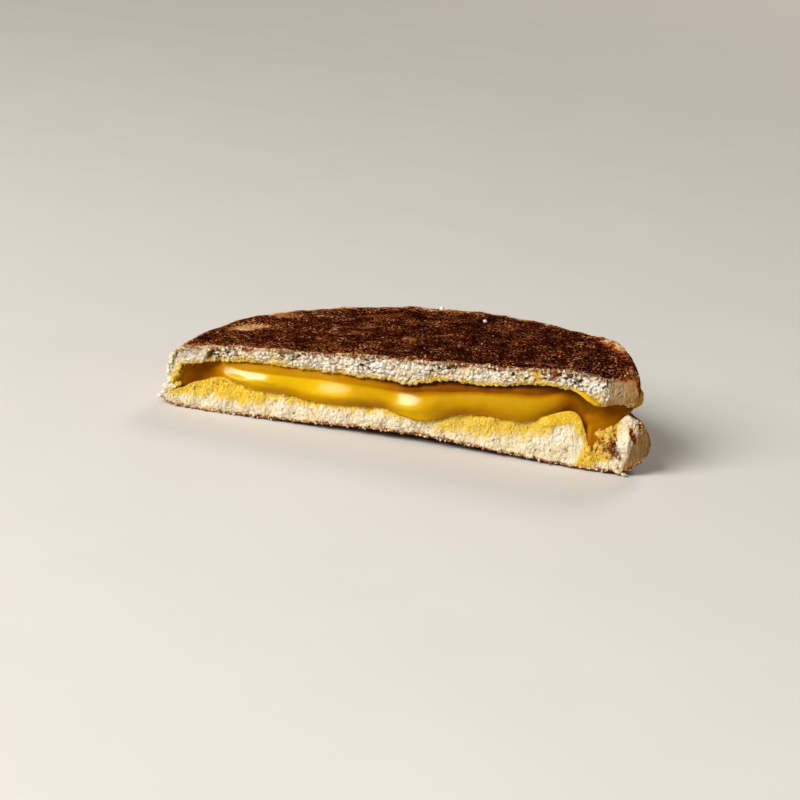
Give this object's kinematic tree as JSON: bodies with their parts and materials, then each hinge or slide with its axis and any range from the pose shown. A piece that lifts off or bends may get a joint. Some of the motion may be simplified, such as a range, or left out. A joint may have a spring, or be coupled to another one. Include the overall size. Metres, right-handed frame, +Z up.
{
  "type": "grilled cheese sandwich half",
  "caption": "Half of a toasted sandwich, cut straight through, with a ribbon of melted cheese between pale crumb and dark browned crust.",
  "frame": {"origin": "centre of the bounding box on the surface that the sandwich half lies on", "axes": "+X along the cut from the thin end to the thick end, +Y from the cut face to the round crust, +Z up"},
  "size_m": [0.121, 0.0592, 0.0282],
  "materials": {
    "top_bread": "dark browned butter-toasted crust over pale open crumb",
    "melted_cheese": "glossy melted cheese",
    "bottom_bread": "pale crumb, stained yellow where cheese soaked in, browned below"
  },
  "bodies": {
    "root": {"top_slice": "top_bread", "cheese": "melted_cheese", "bottom_slice": "bottom_bread"}
  },
  "joints": []
}
